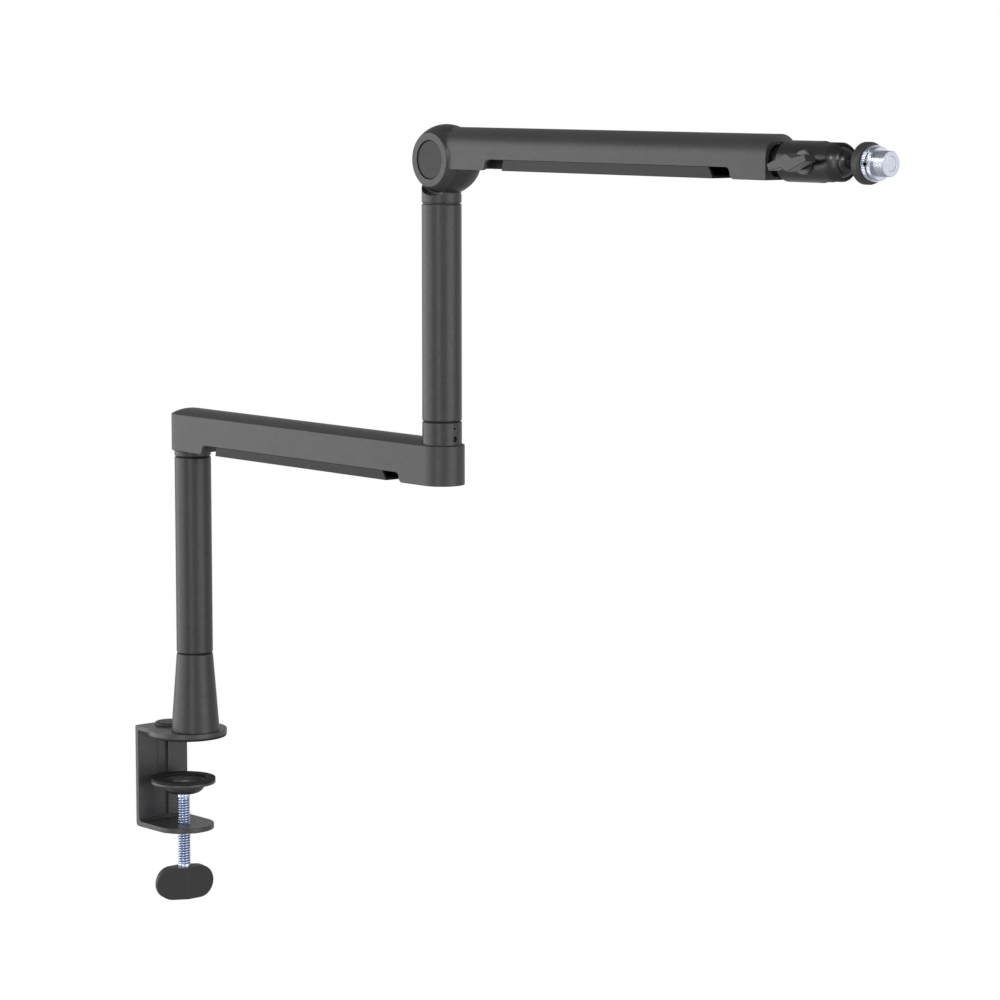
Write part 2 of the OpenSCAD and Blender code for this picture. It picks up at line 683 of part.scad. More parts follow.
// thin ring round the neck in the arm's end
module end_ring() color(steel_black)
  translate([end_x - rim_depth, 0, head_z]) rotate([0, 90, 0])
    turned(neck_d / 2 + rim - fit, 1.4, 0.3, neck_d / 2 + gap);

// ball head: a neck that turns in the arm, a pair of jaws on the neck's tongue, and their bolt
jaw_x = end_x + neck_len;
mouth_x = end_x + ball_out + 5.5;
lever_x = end_x + lever_out;
ball_x = end_x + ball_out;
flange_x = ball_x + stem_len;
ring_x = flange_x + flange_t + fit;
tongue_t = 6;
pin_at = jaw_x + 8;
jaw_pin_d = 4;
seat_y = head_d / 2 - 1;
seat_r = 7.4;
nut_y = head_d / 2 - 4;
module head_neck() color(plastic)
  difference() {
    union() {
      translate([end_x - 13, 0, head_z]) rotate([0, 90, 0]) cylinder(d = neck_d, h = 13 + neck_len - 3);
      translate([jaw_x - 3, 0, head_z]) rotate([0, 90, 0]) cylinder(d1 = neck_d, d2 = head_d, h = 3);
      bar_x(head_d / 2, jaw_x, jaw_x + 3);
      intersection() {
        translate([jaw_x, -tongue_t / 2, head_z - 7]) cube([14, tongue_t, 14]);
        bar_x(head_d / 2 - 3, jaw_x - 1, jaw_x + 20);
      }
    }
    bar_y(pin_at, head_z, jaw_pin_d / 2 + fit, -head_d, head_d);
    bar_x(3 + fit, end_x - 14, jaw_x - 2);
  }

// long screw that holds the neck to the arm from inside the channel
module neck_screw() color(zinc) {
  bar_x(3, chan_end - 0.5, jaw_x - 3);
  difference() {
    bar_x(5, chan_end - 4, chan_end);
    translate([chan_end - 5, 0, head_z]) rotate([0, 90, 0]) cylinder(d = 5.8, h = 3.2, $fn = 6);
  }
}

// one clamp jaw: half a round-nosed barrel, hollowed for the ball and relieved at the mouth
module jaw(side) {
  barrel_a = jaw_x + 3 + fit;
  nose_c = ball_x - 4;
  bar_a = nose_c - barrel_a;
  difference() {
    union() {
      translate([barrel_a, 0, head_z]) rotate([0, 90, 0]) rotate([0, 0, side > 0 ? 0 : 180])
        rotate_extrude(angle = 180, $fn = 128) difference() {
          union() {
            square([head_d / 2, bar_a]);
            intersection() {
              translate([0, bar_a]) circle(head_d / 2, $fn = 128);
              translate([0, bar_a - 1]) square([head_d / 2, mouth_x - nose_c + 1]);
            }
          }
          translate([0, ball_x - barrel_a]) circle(ball_d / 2 + 0.1, $fn = 128);
          translate([0, ball_x - barrel_a]) polygon([[0, 0], [1.5, 0], [13, 8], [0, 8]]);
        }
      if (side < 0) bar_y(lever_x, head_z, seat_r + gap, -seat_y - 0.4, -3);
    }
    if (side < 0) bar_y(lever_x, head_z, seat_r + gap + 0.05, -head_d, -seat_y - 0.4);
    bar_y(pin_at, head_z, jaw_pin_d / 2 + fit, -head_d / 2 + 3, head_d / 2 - 3);
    translate([jaw_x, -0.1, head_z - head_d]) cube([60, 0.2, 2 * head_d]);
    translate([ball_x - 15, -slit / 2, head_z - head_d]) cube([40, slit, 2 * head_d]);
    translate([jaw_x + 1, -tongue_t / 2 - fit, head_z - 7 - fit]) cube([13.5, tongue_t + 2 * fit, 14 + 2 * fit]);
    bar_y(lever_x, head_z, lever_bolt_d / 2 + fit, -30, 30);
  }
}

module near_jaw() color(plastic) jaw(-1);
module far_jaw() color(plastic) difference() {
  jaw(1);
  translate([lever_x, nut_y, head_z]) rotate([-90, 0, 0]) cylinder(d = 9.4, h = 10, $fn = 6);
}

// dowel that holds both jaws on the neck's tongue
module jaw_pin() color(zinc) bar_y(pin_at, head_z, jaw_pin_d / 2, -head_d / 2 + 3.2, head_d / 2 - 3.2);

// flat round seat between the near jaw and the lever
module jaw_washer() color(steel_black)
  difference() {
    bar_y(lever_x, head_z, seat_r, -seat_y - 2.4, -seat_y - 0.4);
    bar_y(lever_x, head_z, lever_bolt_d / 2 + fit, -40, 40);
  }

module lever_bolt() color(zinc)
  bar_y(lever_x, head_z, lever_bolt_d / 2, lever_y - hub_h - 4, nut_y + 3);

module jaw_nut() color(zinc)
  difference() {
    translate([lever_x, nut_y, head_z]) rotate([-90, 0, 0]) cylinder(d = 9.2, h = 3, $fn = 6);
    bar_y(lever_x, head_z, lever_bolt_d / 2 + fit, -40, 40);
  }

// two-winged lever: one wing's outline repeated half a turn round, on a round hub
lever_y = -seat_y - 2.5;
hub_h = 5;
module clamp_lever() color(plastic)
  translate([lever_x, lever_y, head_z]) rotate([90, 0, 0]) difference() {
    k = lever_len / 34;
    wing = [[0.3, -5.6], [16.9 * k, 1.2], [15.3 * k, 5.4], [4.5, 3.1]];
    union() {
      cylinder(r = 4.6, h = hub_h + 1);
      translate([0, 0, hub_h]) linear_extrude(lever_t) polygon(concat(wing, [for (p = wing) -p]));
    }
    translate([0, 0, -1]) cylinder(d = lever_bolt_d + 2 * fit, h = hub_h + 5 + fit);
  }

// ball and neck in one piece, turned from bar
module ball_stem() color(plastic) {
  translate([ball_x, 0, head_z]) sphere(ball_d / 2, $fn = 128);
  difference() {
    translate([ball_x, 0, head_z]) rotate([0, 90, 0]) cylinder(r1 = 2.6, r2 = 6.5, h = stem_len);
    bar_x(stud_d / 2 + fit, flange_x - 3, flange_x + 1);
  }
}

module stem_flange() color(rubber)
  difference() {
    translate([flange_x, 0, head_z]) rotate([0, 90, 0]) turned(flange_d / 2, flange_t, 1);
    bar_x(stud_d / 2 + fit, flange_x - 1, flange_x + 20);
  }

module thread_stud() color(zinc)
  bar_x(stud_d / 2, flange_x - 3, ring_x + ring_t + 1 + thread_len - 0.2);

// microphone thread adapter: knurled ring in two bands with a tommy hole, small step, thread
module thread_adapter() color(zinc)
  difference() {
    translate([ring_x, 0, head_z]) rotate([0, 90, 0]) rotate_extrude()
      polygon([[0, 0], [ring_d / 2 - 0.4, 0], [ring_d / 2, 0.4], [ring_d / 2, ring_t / 2 - 0.4],
        [ring_d / 2 - 0.5, ring_t / 2 - 0.4], [ring_d / 2 - 0.5, ring_t / 2 + 0.4],
        [ring_d / 2, ring_t / 2 + 0.4], [ring_d / 2, ring_t - 0.4], [ring_d / 2 - 0.4, ring_t],
        [ring_d / 2 - 1.1, ring_t], [ring_d / 2 - 1.1, ring_t + 1], [thread_d / 2, ring_t + 1],
        [thread_d / 2, ring_t + 1 + thread_len], [0, ring_t + 1 + thread_len]]);
    bar_x(stud_d / 2 + fit, 0, end_x + 300);
    bar_y(ring_x + ring_t / 2, head_z, 0.9, -ring_d, -ring_d / 2 + 2);
  }

clamp_bracket();
top_jaw_pad();
plate_plug();
pressure_cup();
pressure_pad();
clamp_screw();
screw_retainer();
clamp_knob();
cone_base();
cone_bolt();
base_bush();
lower_riser();
lower_riser_spindle();
lower_riser_socket();
shoulder_bush();
shoulder_collar();
shoulder_bolt();
lower_arm();
lower_cable_cover();
mid_collar();
mid_bush();
collar_screws();
upper_riser();
upper_riser_spindle();
elbow_knuckle();
elbow_bush();
friction_washers();
disc_springs();
elbow_bolt();
elbow_locknut();
elbow_caps();
upper_arm();
upper_cable_cover();
end_ring();
head_neck();
near_jaw();
far_jaw();
neck_screw();
jaw_pin();
jaw_washer();
lever_bolt();
clamp_lever();
jaw_nut();
ball_stem();
stem_flange();
thread_stud();
thread_adapter();
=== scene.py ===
import math
import bpy
from mathutils import Matrix, Vector


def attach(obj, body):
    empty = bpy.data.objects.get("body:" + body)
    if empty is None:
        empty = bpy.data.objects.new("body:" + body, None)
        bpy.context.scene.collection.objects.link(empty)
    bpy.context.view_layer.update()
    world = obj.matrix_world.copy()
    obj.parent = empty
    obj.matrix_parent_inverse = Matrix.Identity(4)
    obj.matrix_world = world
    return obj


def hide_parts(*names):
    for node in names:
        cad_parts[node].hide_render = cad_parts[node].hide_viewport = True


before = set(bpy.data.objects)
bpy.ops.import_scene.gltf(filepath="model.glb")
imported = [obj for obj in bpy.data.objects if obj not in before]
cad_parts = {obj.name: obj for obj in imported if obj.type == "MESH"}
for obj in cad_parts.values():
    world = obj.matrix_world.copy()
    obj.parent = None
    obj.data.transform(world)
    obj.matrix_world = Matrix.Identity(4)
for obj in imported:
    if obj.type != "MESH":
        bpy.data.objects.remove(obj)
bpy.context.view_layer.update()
scene = bpy.context.scene

# The camera stands as the photographer's did: a long lens a little above the arm, in front and to
# the right. Its place comes from lining up the risers, both arms and the clamp with the photograph.
azimuth, elevation = math.radians(49.425), math.radians(6.994)
camera_place = (2.227397, -1.59695, 0.519896)
away = Vector((math.sin(azimuth) * math.cos(elevation), -math.cos(azimuth) * math.cos(elevation),
               math.sin(elevation)))
right = Vector((math.cos(azimuth), math.sin(azimuth), 0))
camera = bpy.data.objects.new("camera", bpy.data.cameras.new("camera"))
camera.data.sensor_width = 36
camera.data.lens = 128.835
camera.data.clip_end = 20
looking = Matrix((right, away.cross(right), away)).transposed().to_4x4()
camera.matrix_world = Matrix.Translation(camera_place) @ looking
scene.collection.objects.link(camera)
scene.camera = camera
scene.view_settings.view_transform = "Standard"


# The studio: a matt white floor under the arm that fades to plain white, a white surround and a darker
# ceiling, which is why upward faces look nearly black in the photograph. Colours are written in sRGB
# hex and turned to linear light by one function; a second one adds a node with its settings and links.
def colour(hexed):
    parts = [int(hexed[i:i + 2], 16) / 255 for i in (1, 3, 5)]
    return [p / 12.92 if p <= 0.04045 else ((p + 0.055) / 1.055) ** 2.4 for p in parts] + [1]


def add_node(tree, kind, settings=None, **links):
    made = tree.nodes.new(kind)
    for key, value in (settings or {}).items():
        setattr(made, key, value)
    for name, value in links.items():
        name = name.replace("_", " ")
        spot = made.inputs[int(name[1:])] if name[0] == "i" and name[1:].isdigit() else made.inputs[name]
        if isinstance(value, bpy.types.NodeSocket):
            tree.links.new(value, spot)
        else:
            spot.default_value = value
    return made


def pair(tree, operation, first, second):
    """Two values put together by one Math node."""
    return add_node(tree, "ShaderNodeMath", {"operation": operation}, i0=first, i1=second).outputs[0]


def stretched(tree, value, reach, result):
    """The value runs over the reach; what comes out runs over the result."""
    return add_node(tree, "ShaderNodeMapRange", None, Value=value, From_Min=reach[0], From_Max=reach[1],
                    To_Min=result[0], To_Max=result[1])


def ray_kinds(tree):
    """One socket is 1 for rays from the camera, the other for mirrored and transmitted ones."""
    rays = add_node(tree, "ShaderNodeLightPath").outputs
    return rays["Is Camera Ray"], pair(tree, "MAXIMUM", rays["Is Glossy Ray"], rays["Is Transmission Ray"])


def new_paint(name):
    paint = bpy.data.materials.new(name)
    paint.use_nodes = True
    return paint, paint.node_tree, paint.node_tree.nodes["Principled BSDF"]


# the surround is white to the camera and in mirrors, and a dimmer light on matt surfaces; everywhere
# but to the camera it darkens from the horizon up, which makes the ceiling
matt_share, ceiling_share, ceiling_from, ceiling_to = 0.4, 0.35, 0.02, 0.3
world = bpy.data.worlds.new("white_cyclorama")
world.use_nodes = True
scene.world = world
sky = world.node_tree
direct, mirrored = ray_kinds(sky)
level = stretched(sky, pair(sky, "MAXIMUM", direct, mirrored), (0, 1), (matt_share, 1)).outputs[0]
facing = add_node(sky, "ShaderNodeTexCoord").outputs["Generated"]
height = add_node(sky, "ShaderNodeSeparateXYZ", None, Vector=facing).outputs["Z"]
ceiling = stretched(sky, height, (ceiling_from, ceiling_to), (1, ceiling_share))
ceiling.interpolation_type = "SMOOTHSTEP"
open_sky = pair(sky, "MAXIMUM", ceiling.outputs[0], direct)
sky.nodes["Background"].inputs["Color"].default_value = (1, 1, 1, 1)
sky.links.new(pair(sky, "MULTIPLY", open_sky, level), sky.nodes["Background"].inputs["Strength"])

# roller-coated floor paint: no gloss, so it takes the arm's soft shadow near the middle; further out it
# is plain white. Mirrored rays get half of that white, which keeps dark bands on the bright metal.
floor_size, floor_z = 14, -0.62
shadow_reach, white_reach, white_near, mirror_share = 0.5, 1.4, 0.3, 0.5
bpy.ops.mesh.primitive_plane_add(size=floor_size, location=(0.3, 0, floor_z))
floor = bpy.context.object
floor.name = "studio_floor"
floor_paint, tree, shader = new_paint("matt_white_floor_paint")
shader.inputs["Base Color"].default_value = colour("#c4c4c4")
shader.inputs["Roughness"].default_value = 0.9
direct, mirrored = ray_kinds(tree)
seen = pair(tree, "MAXIMUM", direct, pair(tree, "MULTIPLY", mirrored, mirror_share))
place = add_node(tree, "ShaderNodeTexCoord").outputs["Object"]
far = add_node(tree, "ShaderNodeVectorMath", {"operation": "LENGTH"}, i0=place).outputs["Value"]
fade = stretched(tree, far, (shadow_reach, white_reach), (white_near, 1))
fade.interpolation_type = "SMOOTHSTEP"
white = add_node(tree, "ShaderNodeEmission", None, Color=(1, 1, 1, 1), Strength=1.0)
mixed = add_node(tree, "ShaderNodeMixShader", None, i0=pair(tree, "MULTIPLY", seen, fade.outputs[0]),
                 i1=shader.outputs[0], i2=white.outputs[0])
tree.links.new(mixed.outputs[0], tree.nodes["Material Output"].inputs["Surface"])
floor.data.materials.append(floor_paint)

arm_middle, lamp_distance = Vector((0.33, 0, 0.25)), 2.4


def soft_panel(name, bearing, rise, wide, tall, watts):
    """An area lamp aimed at the arm's middle, at a bearing in degrees that counts from the front."""
    lamp = bpy.data.objects.new(name, bpy.data.lights.new(name, "AREA"))
    lamp.data.shape = "RECTANGLE"
    lamp.data.size, lamp.data.size_y = wide, tall
    lamp.data.energy = watts
    side = math.radians(bearing)
    lamp.location = arm_middle + Vector((math.sin(side) * lamp_distance, -math.cos(side) * lamp_distance,
                                         rise))
    lamp.rotation_euler = (arm_middle - lamp.location).to_track_quat("-Z", "Y").to_euler()
    scene.collection.objects.link(lamp)


# a wide panel on the left, a strip beside the camera and a panel on the right: each gives the round
# posts one pale band, with dark gaps between the bands
panel_rise, panel_tall = 0.225, 2.15
soft_panel("left_panel", bearing=-46, rise=panel_rise, wide=3.3, tall=panel_tall, watts=45)
soft_panel("camera_strip", bearing=31, rise=panel_rise, wide=0.42, tall=panel_tall, watts=11.3)
soft_panel("right_panel", bearing=102.5, rise=panel_rise, wide=1.99, tall=panel_tall, watts=30.5)
# two small lamps higher up give the jaws' domes their pair of round lights
for name, bearing in (("left_spark", 12), ("right_spark", 53)):
    soft_panel(name, bearing, rise=1.3, wide=0.4, tall=0.4, watts=16)


# Clamp: one strip of 4 mm steel, sheared, bent to a C and powder coated, with its round top jaw under
# the cone. Polyester powder is baked to a satin skin about 0.08 mm thick: fine grain, soft edges. The
# grain is drawn at 0.8 mm, coarser than the real one, because finer grain is lost at this size.
noise_reach = (0.3, 0.7)
coat_grain_mm, coat_depth_mm = 0.8, 0.06
weld_gap, flat_deg, edge_steps = 2e-6, 0.4, 3


def noise(tree, place, per_metre, detail):
    return add_node(tree, "ShaderNodeTexNoise", None, Vector=place, Scale=per_metre,
                    Detail=detail).outputs["Fac"]


def shaded(tree, shader, shade, factor):
    """The base colour is the shade, lighter and darker by the factor."""
    skin = add_node(tree, "ShaderNodeMix", {"data_type": "RGBA", "blend_type": "MULTIPLY"}, i0=1,
                    i6=colour(shade), i7=factor)
    tree.links.new(skin.outputs[2], shader.inputs["Base Color"])


def coated(name, shade, rough, grain_mm, depth_mm, peel_mm, gloss):
    """A paint or plastic skin: cloudy, specked by its grain, and wavy like orange peel."""
    paint, tree, shader = new_paint(name)
    shader.inputs["Specular IOR Level"].default_value = gloss
    place = add_node(tree, "ShaderNodeTexCoord").outputs["Object"]
    grain = noise(tree, place, per_metre=1000 / grain_mm, detail=2.0)
    peel = noise(tree, place, per_metre=1000 / peel_mm, detail=2.0)
    cloud = stretched(tree, noise(tree, place, per_metre=25.0, detail=4.0), noise_reach, (0.9, 1.1))
    speck = stretched(tree, grain, noise_reach, (0.65, 1.35))
    shaded(tree, shader, shade, pair(tree, "MULTIPLY", cloud.outputs[0], speck.outputs[0]))
    dull = stretched(tree, peel, noise_reach, (rough - 0.04, rough + 0.04))
    tree.links.new(dull.outputs[0], shader.inputs["Roughness"])
    waves = add_node(tree, "ShaderNodeBump", None, Strength=0.35, Distance=depth_mm / 1000, Height=peel)
    pits = add_node(tree, "ShaderNodeBump", None, Strength=0.6, Distance=depth_mm / 2000, Height=grain,
                    Normal=waves.outputs[0])
    tree.links.new(pits.outputs[0], shader.inputs["Normal"])
    return paint


def dress(name, paint, edge_mm=0.4, sharp_deg=35, free=False):
    """Paints a CAD node and rounds its edges. A free rounding keeps its full width beside short edges,
    and is only for pieces whose own edges leave room for it."""
    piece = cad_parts[name]
    piece.data.materials.clear()
    piece.data.materials.append(paint)
    piece.data.shade_smooth()
    piece.modifiers.new("weld", "WELD").merge_threshold = weld_gap
    flat = piece.modifiers.new("flats", "DECIMATE")
    flat.decimate_type = "DISSOLVE"
    flat.angle_limit = math.radians(flat_deg)
    soft = piece.modifiers.new("edges", "BEVEL")
    soft.width = edge_mm / 1000
    soft.segments = edge_steps
    soft.limit_method = "ANGLE"
    soft.angle_limit = math.radians(sharp_deg)
    soft.miter_outer = "MITER_ARC"
    soft.use_clamp_overlap = not free
    piece.modifiers.new("shading", "WEIGHTED_NORMAL").keep_sharp = True


steel_coat = coated("satin_powder_coat_on_pressed_steel", "#303032", rough=0.36, grain_mm=coat_grain_mm,
                    depth_mm=coat_depth_mm, peel_mm=2.5, gloss=0.6)
dress("clamp_bracket", steel_coat, 0.4)


# Pads on both jaws: nitrile rubber moulded flat and glued on. The mould and the rubber's own bloom
# leave it matt and a little dusty, with hardly a highlight.
pad_rubber = coated("moulded_nitrile_rubber", "#151516", rough=0.7, grain_mm=0.5, depth_mm=0.05,
                    peel_mm=1.5, gloss=0.3)
dress("top_jaw_pad", pad_rubber, 0.3)
dress("pressure_pad", pad_rubber, 0.3)


# Plug that closes the plate's spare hole: glass-filled nylon, moulded in a spark-eroded tool, which
# leaves a fine even matt grain.
nylon_moulding = coated("moulded_glass_filled_nylon", "#252527", rough=0.45, grain_mm=0.3,
                        depth_mm=0.02, peel_mm=1.8, gloss=0.4)
dress("plate_plug", nylon_moulding, 0.5)


# Pressure cup: a deep-drawn steel disc under the desk, powder coated, swaged on the screw's tip and
# held by a ring. The scene's own piece has the photo's rounder bowl and stands for the CAD cup.
crisp_deg = 40
screw_x = -0.017
rim_z, rim_r, rim_thick = -0.0386, 0.025, 0.0022
bowl_in, outer_curve, inner_curve, neck_hole_r = 0.0092, 0.0078, 0.0056, 0.0041


def turned_piece(name, rings, around, place, paint, hollow=False):
    """A skin of rings: each is a function of the turn angle that gives (distance along, radius). A
    hollow skin runs from its last ring back to its first; any other has a flat face at both ends."""
    points, faces = [], []
    for ring in rings:
        for i in range(around):
            angle = 2 * math.pi * i / around
            along, radius = ring(angle)
            points.append(place(along, radius * math.cos(angle), radius * math.sin(angle)))
    count = len(rings)
    for k in range(count if hollow else count - 1):
        near, far = k * around, (k + 1) % count * around
        for i in range(around):
            j = (i + 1) % around
            faces.append((near + i, near + j, far + j, far + i))
    if not hollow:
        faces += [tuple(reversed(range(around))), tuple((count - 1) * around + i for i in range(around))]
    mesh = bpy.data.meshes.new(name)
    mesh.from_pydata(points, [], faces)
    mesh.validate()
    mesh.shade_smooth()
    mesh.set_sharp_from_angle(angle=math.radians(crisp_deg))
    mesh.materials.append(paint)
    piece = bpy.data.objects.new(name, mesh)
    scene.collection.objects.link(piece)
    return piece


def stand_for(piece, node, body):
    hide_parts(node)
    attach(piece, body)


def fixed_ring(along, radius):
    return lambda angle: (along, radius)


def on_screw_axis(along, across, side):
    return across + screw_x, side, along


def bowl_arc(curve, angles):
    return [fixed_ring(rim_z - curve * math.cos(a), bowl_in + curve * math.sin(a)) for a in angles]


quarter = [math.radians(a) for a in range(0, 91, 6)]
rings = [fixed_ring(rim_z - outer_curve, neck_hole_r)] + bowl_arc(outer_curve, quarter)
rings += [fixed_ring(z, r) for z, r in ((rim_z, rim_r - 0.0004), (rim_z + 0.0001, rim_r - 0.0001),
                                        (rim_z + 0.0004, rim_r), (rim_z + 0.0018, rim_r),
                                        (rim_z + 0.0021, rim_r - 0.0001), (rim_z + rim_thick, rim_r - 0.0004),
                                        (rim_z + rim_thick, bowl_in + inner_curve + 0.0006),
                                        (rim_z + 0.0018, bowl_in + inner_curve + 0.0001))]
rings += bowl_arc(inner_curve, reversed(quarter)) + [fixed_ring(rim_z - inner_curve, neck_hole_r)]
cup = turned_piece("deep_drawn_pressure_cup", rings, 128, on_screw_axis, steel_coat, hollow=True)
stand_for(cup, "pressure_cup", "cup")


# Clamp screw: M10 by 1.5 thread rolled on steel bar, zinc plated and blue passivated, plain at both
# ends. It stands for the plain CAD bar. Its thread is drawn 2 mm from ridge to ridge and 1.4 mm deep,
# coarser than the real one: 1.5 mm is under 2 pixels here.
x_axis, z_axis = 0, 2


def turned_metal(name, shade, rough, line_mm, axis):
    """Bright metal with fine lines round the axis, left by the tool or the rolls."""
    paint, tree, shader = new_paint(name)
    shader.inputs["Metallic"].default_value = 1
    place = add_node(tree, "ShaderNodeTexCoord").outputs["Object"]
    along, across = 1000 / line_mm, 60
    squeeze = add_node(tree, "ShaderNodeMapping", None, Vector=place,
                       Scale=[along if i == axis else across for i in range(3)])
    lines = noise(tree, squeeze.outputs[0], per_metre=1.0, detail=2.0)
    cloud = stretched(tree, noise(tree, place, per_metre=90.0, detail=3.0), noise_reach, (0.88, 1.04))
    shaded(tree, shader, shade, cloud.outputs[0])
    dull = stretched(tree, lines, noise_reach, (rough - 0.05, rough + 0.06))
    tree.links.new(dull.outputs[0], shader.inputs["Roughness"])
    cut = add_node(tree, "ShaderNodeBump", None, Strength=0.25, Distance=1e-5, Height=lines)
    tree.links.new(cut.outputs[0], shader.inputs["Normal"])
    return paint


def thread_ring(along, start, end, outer, pitch, depth):
    """One ring of a right-hand thread that fades in and out over a turn at both ends. Its root is flat
    over an eighth of the pitch and its crest over a quarter."""
    def ring(angle):
        fade = min(1, max(0, (along - start) / pitch), max(0, (end - along) / pitch))
        wave = ((along / pitch - angle / (2 * math.pi)) % 1) * 2
        flank = min(1, max(0, (1 - abs(wave - 1)) * 1.6 - 0.2))
        return along, outer - depth * fade * (1 - flank)
    return ring


# plating keeps the rolled bar's shine, a cool blue-white; the roots get a rougher zinc of their own,
# whose darker colour is painted shade for the little light that gets in there
zinc = turned_metal("bright_zinc_plate_on_rolled_steel", "#dbe4f8", rough=0.2, line_mm=0.3, axis=z_axis)
root = turned_metal("zinc_plate_with_painted_shade_in_thread_root", "#909cba", rough=0.4, line_mm=0.3, axis=z_axis)
bar_r, bar_foot, bar_neck, tip_r, tip_z = 0.005, -0.125, -0.0482, 0.004, -0.042
ridge_gap, ridge_deep, ridge_rings, root_shade_r = 0.002, 0.0014, 10, bar_r - 0.0006
thread_foot, thread_top = -0.1035, bar_neck - 0.001
steps = int((thread_top - bar_foot) / ridge_gap * ridge_rings)
rings = [fixed_ring(bar_foot, bar_r)]
rings += [thread_ring(bar_foot + i * ridge_gap / ridge_rings, thread_foot, thread_top, bar_r, ridge_gap,
                      ridge_deep) for i in range(1, steps)]
rings += [fixed_ring(z, r) for z, r in ((bar_neck, bar_r), (bar_neck + 0.0014, bar_r),
                                        (bar_neck + 0.0017, bar_r - 0.0003), (bar_neck + 0.0017, tip_r),
                                        (tip_z - 0.0003, tip_r), (tip_z, tip_r - 0.0003))]
screw = turned_piece("threaded_clamp_screw", rings, 48, on_screw_axis, zinc)
screw.data.materials.append(root)
# faces in the thread's roots get the darker zinc, which is painted shade
for face in screw.data.polygons:
    if thread_foot < face.center.z < thread_top:
        face.material_index = int(math.hypot(face.center.x - screw_x, face.center.y) < root_shade_r)
stand_for(screw, "clamp_screw", "screw")
dress("screw_retainer", zinc, 0.2)


# Knob: a two-lobed paddle of glass-filled nylon, moulded round the screw's plain end, with a crease
# down the middle of each face. Its edges are rounded more than those of the other pieces.
dress("clamp_knob", nylon_moulding, 0.8, sharp_deg=25)


# Cone: turned aluminium that spreads the post's load over the jaw, bolted from below, powder coated
# as the post, collars and elbow are. The turned metal is smooth, so the coat lies even and satin.
post_coat = coated("satin_powder_coat_on_turned_aluminium", "#2b2b2d", rough=0.36, grain_mm=coat_grain_mm,
                   depth_mm=coat_depth_mm, peel_mm=2.5, gloss=0.4)
dress("cone_base", post_coat, 0.4)
dress("cone_bolt", zinc, 0.2)


# Lower post: aluminium tube with a steel spindle pressed in its foot and a steel sleeve in its top;
# the bushes it turns in are black acetal, turned, with a flange that shows as a dark line.
acetal = coated("turned_black_acetal", "#070708", rough=0.4, grain_mm=0.2, depth_mm=0.01, peel_mm=1.0,
                gloss=0.15)
dress("base_bush", acetal, 0.1)
dress("lower_riser", post_coat, 0.3)
dress("lower_riser_spindle", zinc, 0.3)
dress("lower_riser_socket", zinc, 0.2)
dress("shoulder_bush", acetal, 0.1)


# Lower arm: aluminium casting with a crowned top and domed ends, hollow below, on a turned collar
# that a long bolt draws up into its boss. Casting skin under the coat gives longer, softer waves.
cast_coat = coated("satin_powder_coat_on_cast_aluminium", "#303032", rough=0.4, grain_mm=coat_grain_mm,
                   depth_mm=coat_depth_mm, peel_mm=3.0, gloss=0.4)
dress("shoulder_collar", post_coat, 0.3)
dress("shoulder_bolt", zinc, 0.2)
dress("lower_arm", cast_coat, 0.4, free=True)
# the snap-in cover is darker than the coat beside it, and a little waxy from the mould
cover_plastic = coated("moulded_black_polypropylene", "#19191a", rough=0.45, grain_mm=0.3, depth_mm=0.02,
                       peel_mm=1.8, gloss=0.3)
dress("lower_cable_cover", cover_plastic, 0.3, free=True)


# Middle joint: a collar let into the arm, a flanged bush, and two grub screws in blackened steel,
# which the hot oil leaves nearly black, with a sharp oily highlight.
# the same paint also goes inside the adapter's hole and groove as painted shade
blackened_steel_and_bore_shade = coated("oil_blackened_steel_and_painted_bore_shade", "#1c1c1e", rough=0.28, grain_mm=0.2, depth_mm=0.01, peel_mm=1.0,
                   gloss=0.9)
dress("mid_collar", post_coat, 0.3)
dress("mid_bush", acetal, 0.1)
dress("collar_screws", blackened_steel_and_bore_shade, 0.15)


# Upper post: the same tube and spindle; the knuckle plugged in its top is the elbow's middle slice,
# turned and milled aluminium. A bush, friction washers and disc springs inside hold the tilt.
dress("upper_riser", post_coat, 0.3)
dress("upper_riser_spindle", zinc, 0.3)
dress("elbow_knuckle", post_coat, 0.4)
dress("elbow_bush", acetal, 0.1)
dress("friction_washers", pad_rubber, 0.1)
dress("disc_springs", zinc, 0)


# Upper arm: a second casting with an arched back, whose two cheeks are the ball's outer slices; the
# tilt bolt and its nut sit in wells behind thin press-in caps, moulded as the cable covers are.
dress("upper_arm", cast_coat, 0.2, free=True)
dress("elbow_bolt", zinc, 0.2)
dress("elbow_locknut", zinc, 0.2)
dress("elbow_caps", cover_plastic, 0.2, free=True)
dress("upper_cable_cover", cover_plastic, 0.3, free=True)
dress("end_ring", blackened_steel_and_bore_shade, 0.2)


# Ball head: a neck that turns in the arm's end and two moulded jaws round a ball, drawn together by a
# bolt with a two-winged lever on a steel seat. Nylon from a polished mould is blacker and glossier than
# the coat, so that lamps show on it as round lights.
head_plastic = coated("polished_mould_glass_filled_nylon", "#121213", rough=0.3, grain_mm=0.3,
                      depth_mm=0.004, peel_mm=1.8, gloss=0.5)
dress("head_neck", head_plastic, 0.5)
dress("neck_screw", zinc, 0.2)
dress("near_jaw", head_plastic, 0.5)
dress("far_jaw", head_plastic, 0.5)
dress("jaw_pin", zinc, 0.2)
dress("jaw_washer", steel_coat, 0.2)
dress("jaw_nut", zinc, 0.2)
dress("lever_bolt", zinc, 0.2)
dress("clamp_lever", head_plastic, 0.4, free=True)
dress("ball_stem", head_plastic, 0.2)
# the flange behind the thread is softer rubber, greyer and duller than the jaws
washer_rubber = coated("moulded_thermoplastic_rubber", "#2c2c2d", rough=0.5, grain_mm=0.5, depth_mm=0.02,
                       peel_mm=1.5, gloss=0.4)
dress("stem_flange", washer_rubber, 0.3)
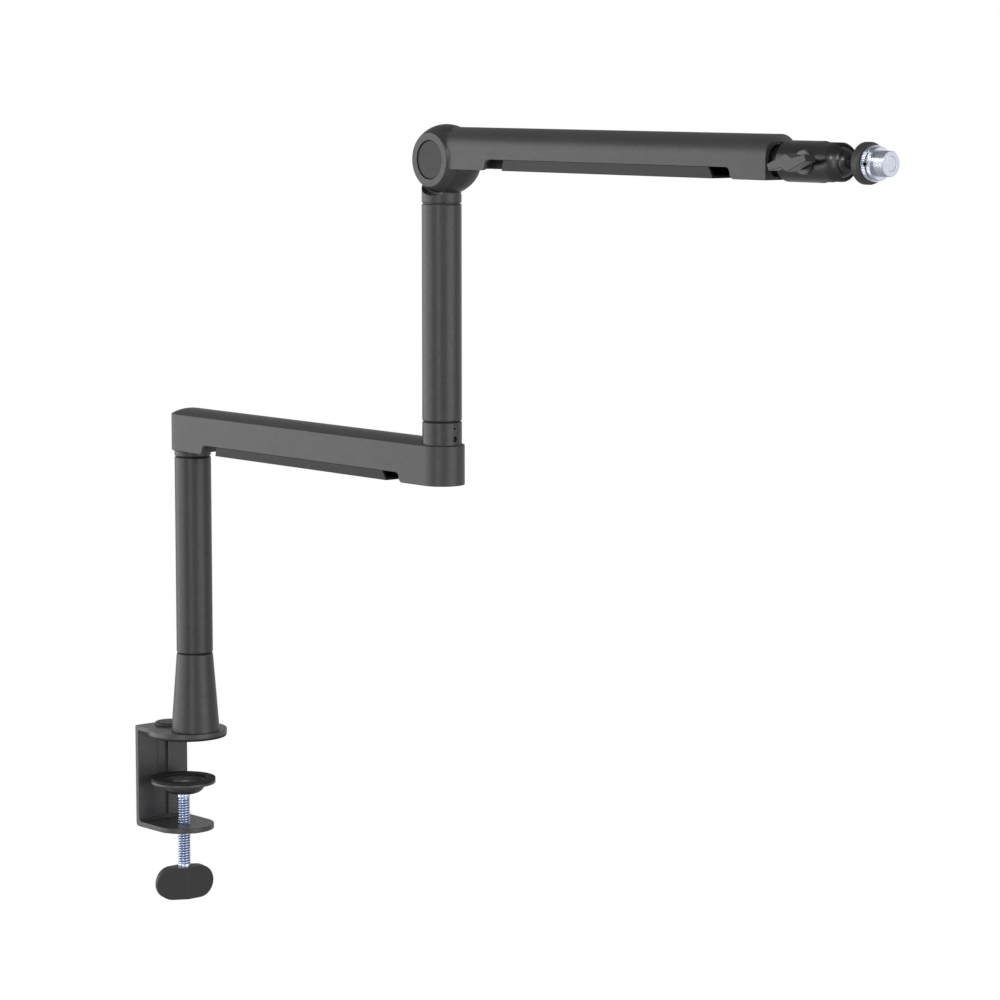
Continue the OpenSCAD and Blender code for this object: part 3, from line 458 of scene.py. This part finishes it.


# Thread adapter: brass bar, turned, knurled and bright nickel plated, with two bands of straight knurl,
# a hole for a tommy bar in the thin groove between them, and a fine 5/8-27 thread. It stands for the
# CAD ring on the stud. Turned sides keep fine lines that soften the mirror; the faced end is smoother,
# and its paler colour is painted light.
nickel = turned_metal("bright_nickel_plate_on_turned_brass", "#bcc0cc", rough=0.26, line_mm=0.1, axis=x_axis)
# the faced copy is painted paler than the turned one: painted light on the end faces
faced_painted_lighter = turned_metal("bright_nickel_plate_on_faced_brass_painted_lighter", "#cfd3e0", rough=0.12, line_mm=0.1, axis=x_axis)
dress("thread_stud", faced_painted_lighter, 0.2)
head_z, stud_hole_r = 0.4579, 0.0048
ring_x, ring_r, step_r, ring_end = 0.71145, 0.01115, 0.0103, 0.71855
groove_x, groove_r = 0.7152, 0.0096
hole_r, hole_turn, hole_deep = 0.0011, math.radians(91), 0.0045
painted_shade_near, painted_shade_from, painted_shade_to = 0.0013, 0.006, ring_r - 0.0015
ridges, ridge_rise, band_step, back_band, front_band = 70, 0.0001, 0.0001, 33, 28
thread_r, thread_end, chamfer = 0.0079375, 0.72695, 0.0003
fine_gap, fine_deep, fine_rings = 0.0254 / 27, 0.0003, 8


def on_head_axis(along, across, side):
    return along, -side, across + head_z


def knurl_ring(along, base, depth=ridge_rise):
    """Shallow ridges along the axis, 1 mm apart, and the tommy hole where the camera sees it."""
    def ring(angle):
        if math.hypot(along - groove_x, ring_r * (angle - hole_turn)) < hole_r:
            return along, base - hole_deep
        return along, base - depth * (1 - math.cos(ridges * angle))
    return ring


rings = [fixed_ring(ring_x, stud_hole_r), fixed_ring(ring_x, ring_r - 0.0004),
         fixed_ring(ring_x + 0.0003, ring_r - 0.0001)]
rings += [knurl_ring(ring_x + 0.0004 + i * band_step, ring_r) for i in range(back_band)]
rings += [knurl_ring(groove_x + a, r, 0) for a, r in ((-0.00004, ring_r - 0.0001), (0, groove_r),
                                                      (0.0002, groove_r), (0.00024, step_r - 0.0001))]
rings += [knurl_ring(groove_x + 0.0003 + i * band_step, step_r) for i in range(front_band)]
rings += [fixed_ring(x, r) for x, r in ((ring_end - 0.0002, step_r - 0.0001), (ring_end, step_r - 0.0003),
                                        (ring_end, thread_r))]
steps = int((thread_end - chamfer - ring_end) / fine_gap * fine_rings)
rings += [thread_ring(ring_end + i * fine_gap / fine_rings, ring_end + 0.0008, thread_end - 0.0002,
                      thread_r, fine_gap, fine_deep) for i in range(1, steps)]
rings += [fixed_ring(x, r) for x, r in ((thread_end - chamfer, thread_r), (thread_end, thread_r - chamfer),
                                        (thread_end, stud_hole_r))]
adapter = turned_piece("knurled_thread_adapter", rings, 280, on_head_axis, nickel, hollow=True)
# the hole and the groove beside it get the blackened paint inside, which is painted shade, and the end face
# gets the faced plating, painted paler as painted light
adapter.data.materials.append(blackened_steel_and_bore_shade)
adapter.data.materials.append(faced_painted_lighter)
for face in adapter.data.polygons:
    off_axis = math.hypot(face.center.y, face.center.z - head_z)
    if abs(face.center.x - groove_x) < painted_shade_near and painted_shade_from < off_axis < painted_shade_to:
        face.material_index = 1
    if face.center.x > thread_end - 0.0001:
        face.material_index = 2
stand_for(adapter, "thread_adapter", "ball")
